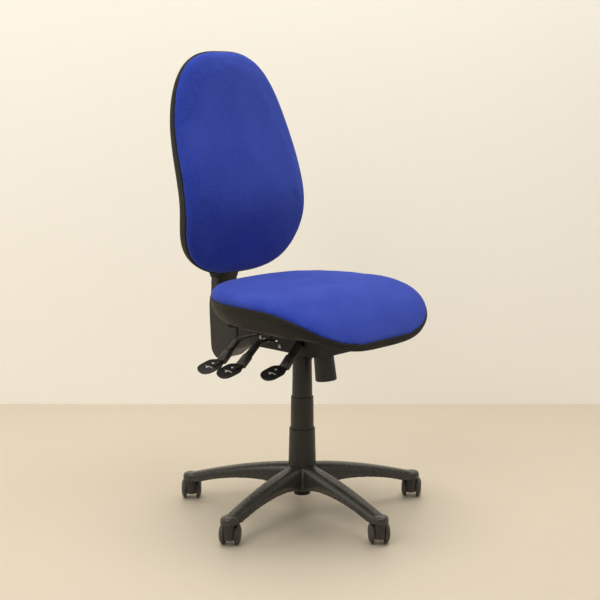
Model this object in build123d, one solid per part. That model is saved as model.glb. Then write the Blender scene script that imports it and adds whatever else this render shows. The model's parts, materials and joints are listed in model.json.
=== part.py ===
from build123d import *
import math
import os

# Swivel office chair. Origin on the swivel axis at floor level, +Z up, the seated person faces -Y.
# The column, mechanism, seat and back are drawn at the height at which the chair stands at rest.

# Five-spoke base
SPOKES = 5
FIRST_SPOKE_DEG = 44.3
STEM_CIRCLE_R = 295.0
HUB_TOP_Z = 121.0
HUB_LOW_Z = 62.0
HUB_TOP_R = 33.8
HUB_LOW_R = 38.0
SPOKE_START_R = 20.0
SPOKE_END_R = 297.0
SPOKE_TOP_Z = 124.0
SPOKE_LOW_Z = 72.0
SPOKE_TOP_DROP = 57.0
SPOKE_LOW_DROP = 18.0
SPOKE_RUN = 290.0
SPOKE_CURVE = 1.53
SPOKE_HUB_HALF = 29.0
SPOKE_TIP_HALF = 19.0
SPOKE_BEVEL = 6.0
SPOKE_WALL = 4.0
TIP_R = 20.0
TIP_LOW_Z = 53.5
TIP_TOP_Z = 70.5

# Twin-wheel castors
WHEEL_R = 25.0
WHEEL_IN = 12.6
WHEEL_OUT = 25.0
HOOD_HALF = 12.2
HOOD_R = 23.0
HOOD_TOP_Z = 51.5
HOOD_LOW_Z = 17.0
CASTOR_TRAIL = 17.0
CASTOR_HEADING_DEG = [49.0, 46.0, 37.0, 47.0, 35.0]
STEM_R = 5.5
AXLE_R = 4.0
RUNNING = 0.1

# Gas lift
TUBE_R = 21.0
TUBE_WALL = 2.0
TUBE_LOW_Z = 46.0
TUBE_TOP_Z = 262.0
TAPER_LOW_R = 20.5
ROD_R = 5.0
ROD_TOP_Z = 238.0
CYLINDER_R = 14.0
CYLINDER_LOW_Z = 185.0
CYLINDER_TOP_Z = 452.0
VALVE_PIN_R = 4.0
VALVE_PIN_TOP_Z = 459.8
VALVE_PIN_DEPTH = 9.0
VALVE_BORE_DEPTH = 14.5
SOCKET_LOW_Z = 402.0
SOCKET_TOP_Z = 450.0

# Telescopic covers: low z, high z, low outer radius, high outer radius
COVER_WALL = 1.5
COVER_LOWER = (121.5, 214.0, 34.0, 31.5)
COVER_MIDDLE = (184.0, 293.0, 29.0, 27.5)
COVER_UPPER = (262.0, 411.5, 25.5, 22.8)

# Mechanism tray
TRAY_HALF = 57.0
TRAY_SHEET = 2.5
TRAY_LOW_Z = 412.0
TRAY_FRONT_Y = -108.0
TRAY_REAR_Y = 122.0
TRAY_FLOOR_END_Y = 45.0
TRAY_TOP_Z = 470.0
TRAY_END_TOP_Z = 462.0
PIN_R = 5.0
SEAT_PIVOT = (30.0, 460.0)
BACK_PIVOT = (70.0, 432.0)
BRACKET_HALF = 40.0

# Levers: y, x of the outer bend, x of the paddle neck, x of the paddle tip
LEVER_WIDTH = 16.0
LEVER_SHEET = 3.0
BACK_LEVER_Y = 106.0
SEAT_LEVER_Y = 40.0
HEIGHT_LEVER_Y = -49.0
LEVER_Z = 440.0
LEVER_PIVOT_X = -51.0
HEIGHT_PIVOT_X = -48.0
HEIGHT_PIVOT_Z = 462.0
NECK_Z = 394.0
PADDLE_LENGTH = 75.0
PADDLE_DROP_DEG = 12.0
PADDLE_HALF = 18.0
PADDLE_THICK = 8.0
PADDLE_ROLL_DEG = 14.0

# Back tension knob, leaning forward at its foot
KNOB_LEAN_DEG = 8.0
KNOB_Y = -75.0
KNOB_MID_Z = 373.0

# Seat: outline is a superellipse, its edge line drops in a waterfall at the front
SEAT_HALF_W = 247.0
SEAT_HALF_D = 224.5
SEAT_MID_Y = -39.0
SEAT_FRONT_POWER = 3.5
SEAT_REAR_POWER = 2.8
SEAT_REAR_TAPER = 0.1
SEAT_EDGE_Z = 548.0
SEAT_WATERFALL = 79.0
SEAT_WATERFALL_POWER = 3.3
SEAT_CROWN = 26.0
SEAT_SHELL_LOW_Z = 484.0
SEAT_SHELL_FRONT_DEPTH = 24.0
CUSHION_ROUND = 24.0
SHELL_ROUND = 30.0
SHELL_INSET = 2.5
SHELL_SIDE_WALL = 4.0
SHELL_WALL = 3.0
SEAT_BOARD_INSET = 22.0
SIDE_REACH = 300.0
BOARD_THICK = 12.0
SEAT_BOLT_X = 72.0
SEAT_BOLT_Y = (-95.0, 85.0)
ARM_HOLE_X = 170.0
ARM_HOLE_Y = (-12.0, 68.0)
M8_CLEAR_R = 4.5

# Back: egg-shaped outline about its widest height, edge line curved in side view
BACK_WIDE_Z = 770.0
BACK_TOP_Z = 1125.0
BACK_LOW_Z = 577.0
BACK_HALF_W = 205.0
BACK_CROWN = 24.0
BACK_CUSHION_ROUND = 22.0
BACK_SHELL_ROUND = 23.0
# BACK_EDGE: height and Y of the edge line; BACK_DEPTH: depth of the shell behind it at those heights
BACK_EDGE = [(571.0, 214.0), (640.0, 203.0), (740.0, 187.0), (820.0, 200.0), (940.0, 238.0), (1131.0, 282.0)]
BACK_BOLT_X = 50.0
FLANGE_HALF = 60.0
FLANGE_THICK = 8.0
BACK_DEPTH = [20.0, 34.0, 42.0, 42.0, 36.0, 14.0]

# Upright bar of the back, bent forward above the neck
BAR_HALF_W = 25.0
BAR_THICK = 6.0
BAR_FLAT_Z = 426.0
BAR_Y = 270.0
BAR_BEND_Z = 560.0
BAR_TOP_Z = 790.0
BAR_LEAN_DEG = 9.0
BAR_FRONT_Y = 95.0


def disc(radius, z0, z1, x=0.0, y=0.0):
    return Pos(x, y, (z0 + z1) / 2) * Cylinder(radius, z1 - z0)


def cone(r0, r1, z0, z1):
    return Pos(0, 0, (z0 + z1) / 2) * Cone(r0, r1, z1 - z0)


def block(x0, x1, y0, y1, z0, z1):
    centre = Pos((x0 + x1) / 2, (y0 + y1) / 2, (z0 + z1) / 2)
    return centre * Box(x1 - x0, y1 - y0, z1 - z0)


def pin_x(radius, x0, x1, y, z):
    return Pos((x0 + x1) / 2, y, z) * Rot(0, 90, 0) * Cylinder(radius, x1 - x0)


def pin_y(radius, y0, y1, x, z):
    return Pos(x, (y0 + y1) / 2, z) * Rot(90, 0, 0) * Cylinder(radius, y1 - y0)


def slab_x(points, half):
    """A closed y, z outline made 2 * half thick along X."""
    face = Plane.YZ * make_face(Polyline(*points, close=True))
    return extrude(face, amount=half, both=True)


# ---- five-spoke base -------------------------------------------------------------------------


def spoke_run(r):
    return (r - SPOKE_START_R) / SPOKE_RUN


def spoke_top(r):
    return SPOKE_TOP_Z - SPOKE_TOP_DROP * spoke_run(r) ** SPOKE_CURVE


def spoke_low(r):
    return SPOKE_LOW_Z - SPOKE_LOW_DROP * spoke_run(r)


def spoke_half(r):
    return SPOKE_HUB_HALF + (SPOKE_TIP_HALF - SPOKE_HUB_HALF) * spoke_run(r)


def spoke_section(r, inset):
    half = spoke_half(r) - inset
    top = spoke_top(r) - inset
    low = spoke_low(r) - 3.0 * inset
    bevel = SPOKE_BEVEL
    points = [(-half, low), (half, low), (half, top - bevel)]
    points += [(half - bevel, top), (bevel - half, top), (-half, top - bevel)]
    return Plane.YZ.offset(r) * make_face(Polyline(*points, close=True))


def spoke_body(r0, r1, inset):
    stations = [r0 + (r1 - r0) * k / 4 for k in range(5)]
    return loft([spoke_section(r, inset) for r in stations])


def make_spoke():
    outer = spoke_body(SPOKE_START_R, SPOKE_END_R, 0.0)
    hollow = spoke_body(46.0, 268.0, SPOKE_WALL)
    ribs = [block(r - 1.5, r + 1.5, -60, 60, 40, 140) & outer for r in (105.0, 160.0, 215.0)]
    tip = disc(TIP_R, TIP_LOW_Z, TIP_TOP_Z, STEM_CIRCLE_R)
    tip = fillet(tip.edges().group_by(Axis.Z)[-1], 3.0)
    return outer - hollow + ribs + tip


def make_star_base():
    spokes = make_spoke()
    spokes = [Rot(0, 0, FIRST_SPOKE_DEG + 360.0 * k / SPOKES) * spokes for k in range(SPOKES)]
    base = cone(HUB_LOW_R, HUB_TOP_R, HUB_LOW_Z, HUB_TOP_Z)
    for spoke in spokes:
        base += spoke
    base -= disc(60.0, HUB_TOP_Z, 140.0)
    base -= cone(TAPER_LOW_R + 0.03, TUBE_R + 0.03, HUB_LOW_Z - 12.0, HUB_TOP_Z)
    for k in range(SPOKES):
        angle = math.radians(FIRST_SPOKE_DEG + 360.0 * k / SPOKES)
        x = STEM_CIRCLE_R * math.cos(angle)
        y = STEM_CIRCLE_R * math.sin(angle)
        base -= disc(STEM_R + 0.03, TIP_LOW_Z - 10.0, 66.0, x, y)
    return base


# ---- castors ---------------------------------------------------------------------------------


def make_stem():
    stem = disc(STEM_R, 29.0, 65.8)
    ring = disc(STEM_R + 1.6, 52.2, 53.4)
    return stem + ring


def make_hood():
    """Body over the axle, drawn with its stem at the origin and its axle towards +X."""
    dome = Pos(CASTOR_TRAIL, 0, WHEEL_R) * Rot(90, 0, 0) * Cylinder(HOOD_R, 2 * HOOD_HALF)
    neck = block(-11.0, CASTOR_TRAIL, -HOOD_HALF, HOOD_HALF, HOOD_LOW_Z, HOOD_TOP_Z)
    neck = fillet(neck.edges().filter_by(Axis.Z).group_by(Axis.X)[0], 10.0)
    hood = dome + neck
    hood -= block(-40, 60, -30, 30, -5, HOOD_LOW_Z)
    hood -= disc(STEM_R + RUNNING, 28.0, 60.0)
    hood -= pin_y(AXLE_R + 0.02, -20, 20, CASTOR_TRAIL, WHEEL_R)
    hood -= block(CASTOR_TRAIL - 9, CASTOR_TRAIL + 18, -9, 9, 0, WHEEL_R - AXLE_R - 2)
    return hood


def make_wheel():
    """One wheel on the +Y side: tread, domed cap and the hollow of its inner face."""
    profile = [(0, WHEEL_IN), (WHEEL_R - 1.2, WHEEL_IN), (WHEEL_R, WHEEL_IN + 1.2)]
    face = Polyline(*profile)
    tread = Line((WHEEL_R, WHEEL_IN + 1.2), (WHEEL_R - 0.6, 19.0))
    dome = ThreePointArc((WHEEL_R - 0.6, 19.0), (WHEEL_R - 6.5, 23.3), (9.0, WHEEL_OUT))
    cap = Polyline((9.0, WHEEL_OUT), (0, WHEEL_OUT), (0, WHEEL_IN))
    half = make_face(Curve() + [face, tread, dome, cap])
    wheel = revolve(half, Axis.Y)
    groove = Pos(0, WHEEL_IN + 3.0, 0) * Rot(90, 0, 0) * (Cylinder(21.0, 8.0) - Cylinder(9.0, 8.0))
    bore = Pos(0, WHEEL_IN, 0) * Rot(90, 0, 0) * Cylinder(AXLE_R + RUNNING, 16.4)
    return Pos(CASTOR_TRAIL, 0, WHEEL_R) * (wheel - groove - bore)


def make_castor():
    axle = pin_y(AXLE_R, -20.0, 20.0, CASTOR_TRAIL, WHEEL_R)
    wheel = make_wheel()
    twin = mirror(wheel, about=Plane.XZ)
    return {"hood": make_hood(), "axle": axle, "wheel_a": wheel, "wheel_b": twin}


def castor_place(k):
    angle = math.radians(FIRST_SPOKE_DEG + 360.0 * k / SPOKES)
    x = STEM_CIRCLE_R * math.cos(angle)
    y = STEM_CIRCLE_R * math.sin(angle)
    return Pos(x, y, 0) * Rot(0, 0, CASTOR_HEADING_DEG[k])


# ---- gas lift and its covers -----------------------------------------------------------------


def make_outer_tube():
    tube = cone(TAPER_LOW_R, TUBE_R, HUB_LOW_Z - 12.0, HUB_TOP_Z)
    tube += disc(TAPER_LOW_R - 0.3, TUBE_LOW_Z, HUB_LOW_Z - 11.9)
    tube += disc(TUBE_R, HUB_TOP_Z - 0.1, TUBE_TOP_Z)
    tube -= disc(TUBE_R - TUBE_WALL, TUBE_LOW_Z + 3.0, TUBE_TOP_Z + 1)
    return tube - disc(ROD_R + 0.4, TUBE_LOW_Z - 1, TUBE_LOW_Z + 4)


def make_guide_bush():
    bush = disc(TUBE_R - TUBE_WALL - 0.03, 200.0, TUBE_TOP_Z + 0.05)
    bush += disc(TUBE_R, TUBE_TOP_Z + 0.05, TUBE_TOP_Z + 2.0)
    return bush - disc(CYLINDER_R + RUNNING, 199.0, TUBE_TOP_Z + 3)


def make_thrust_bearing():
    hole = disc(ROD_R + 0.5, 40, 70)
    lower = disc(13.0, 49.05, 50.8) - hole
    upper = disc(13.0, 54.9, 56.6) - hole
    balls = [Rot(0, 0, 40.0 * k) * Pos(9.3, 0, 52.85) * Sphere(2.0) for k in range(9)]
    return [lower, upper, *balls]


def make_piston_rod():
    rod = disc(ROD_R, 42.0, ROD_TOP_Z) + disc(11.5, 56.75, 60.0)
    rod -= disc(ROD_R + 1, 44.0, 45.7) - disc(4.0, 44.0, 45.7)
    return rod + disc(12.1, 222.0, 236.0)


def make_cylinder():
    top_r = CYLINDER_R - 0.9
    cylinder = disc(CYLINDER_R, CYLINDER_LOW_Z, SOCKET_LOW_Z)
    cylinder += cone(CYLINDER_R, top_r, SOCKET_LOW_Z, CYLINDER_TOP_Z)
    cylinder -= disc(CYLINDER_R - 1.6, CYLINDER_LOW_Z + 8, SOCKET_LOW_Z - 6)
    cylinder -= disc(ROD_R + RUNNING, CYLINDER_LOW_Z - 1, CYLINDER_LOW_Z + 9)
    return cylinder - disc(VALVE_PIN_R + RUNNING, CYLINDER_TOP_Z - VALVE_BORE_DEPTH, CYLINDER_TOP_Z + 1)


def make_cover(spec, lip):
    """A tapered tube with a thicker lip that reaches inwards at its top."""
    z0, z1, r0, r1 = spec
    tube = cone(r0, r1, z0, z1) - cone(r0 - COVER_WALL, r1 - COVER_WALL, z0, z1)
    rim = disc(r1, z1 - 3.0, z1) - disc(r1 - lip, z1 - 3.0, z1)
    return tube + rim


def make_cover_upper():
    cover = make_cover(COVER_UPPER, COVER_WALL)
    collar = disc(25.2, 386.0, 391.0) - disc(22.6, 386.0, 391.0)
    return cover + collar


# ---- mechanism -------------------------------------------------------------------------------


def lever_slot(y, z0, z1):
    return block(-70, -40, y - 11.5, y + 11.5, z0, z1)


def make_tray():
    floor = TRAY_LOW_Z
    side = [(TRAY_FRONT_Y, floor), (TRAY_REAR_Y, floor), (TRAY_REAR_Y, TRAY_END_TOP_Z - 4)]
    side += [(SEAT_PIVOT[0], TRAY_TOP_Z), (TRAY_FRONT_Y, TRAY_END_TOP_Z)]
    outer = slab_x(side, TRAY_HALF)
    half = TRAY_HALF - TRAY_SHEET
    inside = block(-half, half, TRAY_FRONT_Y + TRAY_SHEET, 200, floor + TRAY_SHEET, 520)
    tray = outer - inside
    tray -= block(-54.5, 54.5, TRAY_FLOOR_END_Y, 200, 400, 420)
    tray -= disc(20.1, 400, 420)
    tray -= pin_x(PIN_R + 0.02, -80, 80, *SEAT_PIVOT)
    tray -= pin_x(PIN_R + 0.02, -80, 80, *BACK_PIVOT)
    tray -= lever_slot(BACK_LEVER_Y, 433.0, 449.0) + lever_slot(SEAT_LEVER_Y, 433.0, 447.5)
    tray -= lever_slot(HEIGHT_LEVER_Y, 434.0, 480.0)
    screw_y = KNOB_Y + (TRAY_LOW_Z - KNOB_MID_Z) * math.tan(math.radians(KNOB_LEAN_DEG))
    return tray - disc(6.0, 400, 420, 0, screw_y)


def make_socket():
    socket = disc(20.0, SOCKET_LOW_Z + 10.1, SOCKET_TOP_Z) + disc(18.5, SOCKET_LOW_Z, SOCKET_LOW_Z + 10.2)
    gap = 0.03
    return socket - cone(CYLINDER_R + gap, CYLINDER_R - 0.9 + gap, SOCKET_LOW_Z, CYLINDER_TOP_Z)


def make_seat_bracket():
    plate = block(-84, 84, -112, 102, 478.0, 481.0)
    plate = fillet(plate.edges().filter_by(Axis.Z), 14.0)
    y, z = SEAT_PIVOT
    ear = [(y - 30, 479), (y + 30, 479), (y + 12, z - 9), (y - 12, z - 9)]
    for side in (-1, 1):
        plate += Pos(side * 60.3, 0, 0) * slab_x(ear, 1.5)
    for x in (-SEAT_BOLT_X, SEAT_BOLT_X):
        for bolt_y in SEAT_BOLT_Y:
            plate -= disc(M8_CLEAR_R, 470, 490, x, bolt_y)
    return plate - pin_x(PIN_R + RUNNING, -80, 80, y, z)


def make_back_bracket():
    y, z = BACK_PIVOT
    side = [(y - 14, 446), (y - 14, 420), (181.4, 420), (181.4, 446)]
    bracket = slab_x(side, BRACKET_HALF)
    bracket -= block(-BRACKET_HALF + 4, BRACKET_HALF - 4, 0, 300, 423, 500)
    bracket -= block(-36, 36, 0, BAR_FRONT_Y - 12, 400, 500)
    return bracket - pin_x(PIN_R + RUNNING, -80, 80, y, z)


def bar_path():
    top_y = BAR_Y - (BAR_TOP_Z - BAR_BEND_Z) * math.tan(math.radians(BAR_LEAN_DEG))
    points = [(0, BAR_FRONT_Y, BAR_FLAT_Z), (0, BAR_Y, BAR_FLAT_Z)]
    points += [(0, BAR_Y, BAR_BEND_Z), (0, top_y, BAR_TOP_Z)]
    return FilletPolyline(*points, radius=[42.0, 120.0])


def bar_y(z):
    """Centre of the bar at height z, above its bend."""
    return BAR_Y - max(0.0, z - BAR_BEND_Z) * math.tan(math.radians(BAR_LEAN_DEG))


def make_j_bar():
    start = Plane((0, BAR_FRONT_Y, BAR_FLAT_Z), x_dir=(1, 0, 0), z_dir=(0, 1, 0))
    return sweep(start * Rectangle(2 * BAR_HALF_W, BAR_THICK), path=bar_path())


def leaning(shape):
    """Puts a shape drawn about the Z axis on the leaning axis of the tension knob."""
    return Pos(0, KNOB_Y, KNOB_MID_Z) * Rot(-KNOB_LEAN_DEG, 0, 0) * shape


def make_knob():
    knob = cone(25.8, 24.2, -28.0, 29.0)
    knob = fillet(knob.edges().group_by(Axis.Z)[0], 4.0)
    for k in range(16):
        knob -= Rot(0, 0, 22.5 * k) * Pos(26.6, 0, 2.0) * Cylinder(1.9, 70.0)
    knob -= disc(20.0, 4.0, 30.0) - disc(9.0, 4.0, 30.0)
    return leaning(knob - disc(4.03, 0.0, 30.0))


def make_tension_screw():
    return leaning(disc(4.0, 0.5, 82.0) + disc(7.5, 33.0, 37.0))


def make_tension_nut():
    nut = Pos(0, 0, 71.0) * Box(22.0, 18.0, 8.0)
    return leaning(nut - disc(4.0 + RUNNING, 60, 80))


def make_tension_spring():
    height = 21.0
    path = Helix(pitch=height / 4.0, height=height, radius=9.5)
    start = Plane(origin=path @ 0, z_dir=path % 0)
    coil = sweep(start * Circle(1.5), path=path)
    return leaning(Pos(0, 0, 44.2) * coil)


def lever_profile(points, y, width):
    """A bent strip along its x, z centre line."""
    line = Polyline(*[(x, 0, z) for x, z in points])
    first = Vector(*points[0])
    along = (Vector(*points[1]) - first).normalized()
    start = Plane((points[0][0], 0, points[0][1]), x_dir=(0, 1, 0), z_dir=(along.X, 0, along.Y))
    strip = sweep(start * Rectangle(width, LEVER_SHEET), path=line, transition=Transition.RIGHT)
    return Pos(0, y, 0) * strip


def neck_x(y):
    return -112.0 if y == HEIGHT_LEVER_Y else -167.0


def make_side_lever(y):
    neck = neck_x(y)
    slope = math.radians(PADDLE_DROP_DEG)
    points = [(-45.0, LEVER_Z), (-108.0, LEVER_Z), (neck, NECK_Z)]
    points += [(neck - 30 * math.cos(slope), NECK_Z - 30 * math.sin(slope))]
    lever = lever_profile(points, y, LEVER_WIDTH)
    return lever + pin_y(3.0, y - 7.9, y + 7.9, LEVER_PIVOT_X, LEVER_Z)


def make_height_lever():
    y = HEIGHT_LEVER_Y
    neck = neck_x(y)
    slope = math.radians(PADDLE_DROP_DEG)
    points = [(-38.0, HEIGHT_PIVOT_Z), (HEIGHT_PIVOT_X, HEIGHT_PIVOT_Z), (-66.0, 441.0), (neck, NECK_Z)]
    points += [(neck - 30 * math.cos(slope), NECK_Z - 30 * math.sin(slope))]
    lever = lever_profile(points, y, LEVER_WIDTH)
    tongue = [(-38.2, y - 8), (-38.2, y + 8), (-8, 8), (8, 8), (8, -8), (-26, y - 8)]
    flat = make_face(Polyline(*tongue, close=True))
    lever += pin_y(3.0, y - 7.9, y + 7.9, HEIGHT_PIVOT_X, HEIGHT_PIVOT_Z)
    return lever + Pos(0, 0, 460.5) * extrude(flat, amount=3.0)


def make_paddle(y):
    """Moulded spoon: a neck sleeve that widens into a rounded lozenge."""
    half = PADDLE_HALF
    outline = Spline(
        (6.0, 0.0), (4.0, 10.5), (-14.0, 12.0), (-34.0, half), (-56.0, 15.0), (-71.0, 6.5),
        (-PADDLE_LENGTH, 0.0), (-71.0, -6.5), (-56.0, -15.0), (-34.0, -half), (-14.0, -12.0), (4.0, -10.5),
        periodic=True,
    )
    body = Pos(0, 0, -PADDLE_THICK / 2) * extrude(make_face(outline), amount=PADDLE_THICK)
    body = fillet(body.edges().group_by(Axis.Z)[-1], 2.0)
    slope = Pos(neck_x(y), y, NECK_Z) * Rot(0, -PADDLE_DROP_DEG, 0) * Rot(PADDLE_ROLL_DEG, 0, 0)
    lever = make_height_lever() if y == HEIGHT_LEVER_Y else make_side_lever(y)
    return slope * body - lever


# ---- seat ------------------------------------------------------------------------------------


def seat_outline(inset):
    points = []
    for k in range(40):
        turn = 2 * math.pi * k / 40
        c, s = math.cos(turn), math.sin(turn)
        power = 2.0 / (SEAT_FRONT_POWER if s < 0 else SEAT_REAR_POWER)
        x = (SEAT_HALF_W - inset) * math.copysign(abs(c) ** power, c)
        y = (SEAT_HALF_D - inset) * math.copysign(abs(s) ** power, s)
        x *= 1.0 - SEAT_REAR_TAPER * max(0.0, y / SEAT_HALF_D) ** 1.5
        points.append((x, SEAT_MID_Y + y))
    return make_face(Spline(*points, periodic=True))


def seat_edge(y):
    forward = max(0.0, (SEAT_MID_Y - y) / SEAT_HALF_D)
    return SEAT_EDGE_Z - SEAT_WATERFALL * forward**SEAT_WATERFALL_POWER


def seat_floor(y, lift=0.0):
    """Underside of the outer shell: level, then following the waterfall."""
    edge = seat_edge(y) - SEAT_SHELL_FRONT_DEPTH
    soft = 8.0
    return lift + SEAT_SHELL_LOW_Z - soft * math.log(1 + math.exp((SEAT_SHELL_LOW_Z - edge) / soft))


def seat_curve(height):
    steps = [200, 120, 30, -60, -110, -150, -185, -215, -240, -268]
    return [(y, height(y)) for y in steps]


def seat_layer(inset, low, high):
    """The part of the seat outline that lies between two side-view curves."""
    plan = Pos(0, 0, 400) * extrude(seat_outline(inset), amount=250)
    bottom = Spline(*seat_curve(low))
    top = Spline(*seat_curve(high))
    ends = [Line(bottom @ 0, top @ 0), Line(bottom @ 1, top @ 1)]
    side = Plane.YZ.offset(-SIDE_REACH) * make_face(Curve() + [bottom, top, *ends])
    side = extrude(side, amount=2 * SIDE_REACH)
    return plan & side


def hole_places():
    bolts = [(x, y) for x in (-SEAT_BOLT_X, SEAT_BOLT_X) for y in SEAT_BOLT_Y]
    arms = [(x, y) for x in (-ARM_HOLE_X, ARM_HOLE_X) for y in ARM_HOLE_Y]
    return bolts, arms


def make_seat_cushion():
    cushion = seat_layer(1.0, lambda y: seat_edge(y) + 1.8, lambda y: seat_edge(y) + SEAT_CROWN)
    return fillet(cushion.faces().sort_by(Axis.Z)[-1].edges(), CUSHION_ROUND)


def make_seat_board():
    board = seat_layer(SEAT_BOARD_INSET, lambda y: seat_edge(y) - BOARD_THICK, lambda y: seat_edge(y) - 0.2)
    bolts, arms = hole_places()
    for x, y in bolts + arms:
        board -= disc(5.1, 500, 600, x, y)
    return board


def make_seat_shell():
    outer = seat_layer(SHELL_INSET, seat_floor, lambda y: seat_edge(y) - 0.3)
    outer = fillet(outer.faces().sort_by(Axis.Z)[0].edges(), SHELL_ROUND)
    inset = SHELL_INSET + SHELL_SIDE_WALL
    inner = seat_layer(inset, lambda y: seat_floor(y, SHELL_WALL), lambda y: seat_edge(y) + 2)
    inner = fillet(inner.faces().sort_by(Axis.Z)[0].edges(), SHELL_ROUND)
    shell = outer - inner
    bolts, arms = hole_places()
    under_board = SEAT_EDGE_Z - BOARD_THICK - 2.5
    for x, y in bolts + arms:
        shell += disc(11.0, SEAT_SHELL_LOW_Z + 0.5, under_board, x, y)
    for x, y in bolts + arms:
        shell -= disc(M8_CLEAR_R, 470, 560, x, y)
    return shell


def make_seat_bolts():
    bolts, _ = hole_places()
    return [disc(4.0, 476.0, 546.0, x, y) + disc(6.8, 470.5, 477.9, x, y) for x, y in bolts]


def make_t_nuts():
    bolts, arms = hole_places()
    nuts = []
    for x, y in bolts + arms:
        top = seat_edge(y)
        nut = disc(10.0, top + 0.3, top + 1.2, x, y) + disc(5.0, 537.0, top + 0.5, x, y)
        nuts.append(nut - disc(4.0 + RUNNING, 530, 560, x, y))
    return nuts


# ---- back ------------------------------------------------------------------------------------


def back_half_width(z):
    if z > BACK_WIDE_Z:
        rise = min(1.0, (z - BACK_WIDE_Z) / (BACK_TOP_Z - BACK_WIDE_Z))
        return BACK_HALF_W * (1 - rise**2.1) ** 0.33
    drop = min(1.0, (BACK_WIDE_Z - z) / (BACK_WIDE_Z - BACK_LOW_Z))
    return BACK_HALF_W * (1 - drop**3.0) ** 0.36


def back_outline(inset):
    """Egg outline in the x, z plane, shrunk towards its widest height."""
    right = []
    for k in range(1, 20):
        turn = math.pi * k / 20 - math.pi / 2
        reach = (BACK_TOP_Z if turn > 0 else BACK_LOW_Z) - BACK_WIDE_Z
        z = BACK_WIDE_Z + reach * abs(math.sin(turn))
        scale = 1 - inset / BACK_HALF_W
        spread = 1 - inset / abs(reach)
        right.append((back_half_width(z) * scale, BACK_WIDE_Z + (z - BACK_WIDE_Z) * spread))
    top = (0.0, BACK_TOP_Z - inset)
    low = (0.0, BACK_LOW_Z + inset)
    left = [(-x, z) for x, z in reversed(right)]
    return make_face(Spline(low, *right, top, *left, periodic=True))


def back_curve(offset):
    """Side-view curve at a distance behind the edge line; offset may be a list of depths."""
    if isinstance(offset, list):
        points = [(y + deep, z) for (z, y), deep in zip(BACK_EDGE, offset)]
    else:
        points = [(y + offset, z) for z, y in BACK_EDGE]
    return Spline(*points)


def back_layer(inset, front, rear):
    plan = Plane.XZ.offset(-400) * back_outline(inset)
    plan = extrude(plan, amount=300)
    front, rear = back_curve(front), back_curve(rear)
    ends = [Line(front @ 0, rear @ 0), Line(front @ 1, rear @ 1)]
    side = Plane.YZ.offset(-SIDE_REACH) * make_face(Curve() + [front, rear, *ends])
    side = extrude(side, amount=2 * SIDE_REACH)
    return plan & side


def make_back_cushion():
    cushion = back_layer(1.0, -BACK_CROWN, -0.3)
    return fillet(cushion.faces().sort_by(Axis.Y)[0].edges(), BACK_CUSHION_ROUND)


def spine(front, rear, half, z0, z1):
    """A box that follows the upright bar from z0 to z1, given offsets from its centre."""
    points = [(bar_y(z0) + front, z0), (bar_y(z0) + rear, z0)]
    points += [(bar_y(z1) + rear, z1), (bar_y(z1) + front, z1)]
    return slab_x(points, half)


def make_back_board():
    board = back_layer(14.0, 0.0, BOARD_THICK)
    for x, z, _ in back_bolt_places():
        board -= pin_y(3.3, 100, 300, x, z)
    return board


def back_bolt_places():
    """x, height and edge line of each bolt; the heights are two of the edge line's own points."""
    return [(x, z, y) for x in (-BACK_BOLT_X, BACK_BOLT_X) for z, y in BACK_EDGE[1:3]]


def make_back_shell():
    outer = back_layer(0.5, 0.3, BACK_DEPTH)
    outer = fillet(outer.faces().sort_by(Axis.Y)[-1].edges(), BACK_SHELL_ROUND)
    inner = back_layer(0.5 + SHELL_WALL, -3.0, [deep - SHELL_WALL for deep in BACK_DEPTH])
    inner = fillet(inner.faces().sort_by(Axis.Y)[-1].edges(), BACK_SHELL_ROUND - SHELL_WALL)
    channel = spine(-30, 24, 46, BACK_LOW_Z + 3, 800.0)
    front_of_edge = back_layer(-60.0, -120.0, 14.0)
    shell = outer + (channel - front_of_edge)
    shell -= inner
    shell -= spine(-60, 21, 43, BACK_LOW_Z - 8, 797.0) - back_layer(-60.0, -120.0, 0.4)
    return shell


def make_back_slider():
    """Guide block round the bar, with two flanges bolted to the back board."""
    low, high = 628.0, 768.0
    body = spine(-70, 12, 38, low, high) - back_layer(-60.0, -120.0, BOARD_THICK + 0.2)
    flange = back_layer(14.0, BOARD_THICK + 0.2, BOARD_THICK + FLANGE_THICK)
    flange &= block(-FLANGE_HALF, FLANGE_HALF, 100, 300, low, high - 14)
    slider = body + flange
    slider -= spine(-BAR_THICK / 2 - 0.35, BAR_THICK / 2 + 0.35, BAR_HALF_W + 0.4, 600.0, 820.0)
    for x, z, _ in back_bolt_places():
        slider -= pin_y(3.3, 100, 300, x, z)
    return slider


def make_back_bolts():
    bolts = []
    for x, z, edge_y in back_bolt_places():
        head = edge_y + BOARD_THICK + FLANGE_THICK + 1.0
        bolts.append(pin_y(3.0, edge_y + 1.5, head, x, z) + pin_y(5.0, head, head + 4.0, x, z))
    return bolts


def boot_face():
    """Side view of the cover over the bar's bend and neck."""
    top = 600.0
    rear_top = bar_y(top) + 15.0
    front_top = bar_y(top) - 17.0
    points = [(182, 352), (287, 352), (287, 555), (rear_top, top)]
    points += [(front_top, top), (253, 555), (253, 462), (236, 446), (182, 446)]
    face = Plane.YZ * make_face(Polyline(*points, close=True))
    corners = face.vertices().sort_by(Axis.Z)[:2].sort_by(Axis.Y)
    return fillet(corners[1], 34.0)


def make_upright_cover():
    face = boot_face()
    outer = extrude(face, amount=40.0, both=True)
    neck = block(-36, 36, 240, 300, 452, 620) + block(-40, 40, 170, 300, 340, 460)
    outer &= neck
    inner = extrude(offset(face, amount=-SHELL_WALL), amount=40.0 - SHELL_WALL, both=True)
    inner &= block(-33, 33, 230, 300, 440, 620) + block(-37, 37, 170, 300, 340, 460)
    cover = outer - inner
    cover -= block(-28, 28, 170, 200, 420, 434)
    cover -= spine(-8, 8, 28, 580.0, 620.0)
    return cover


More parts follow.
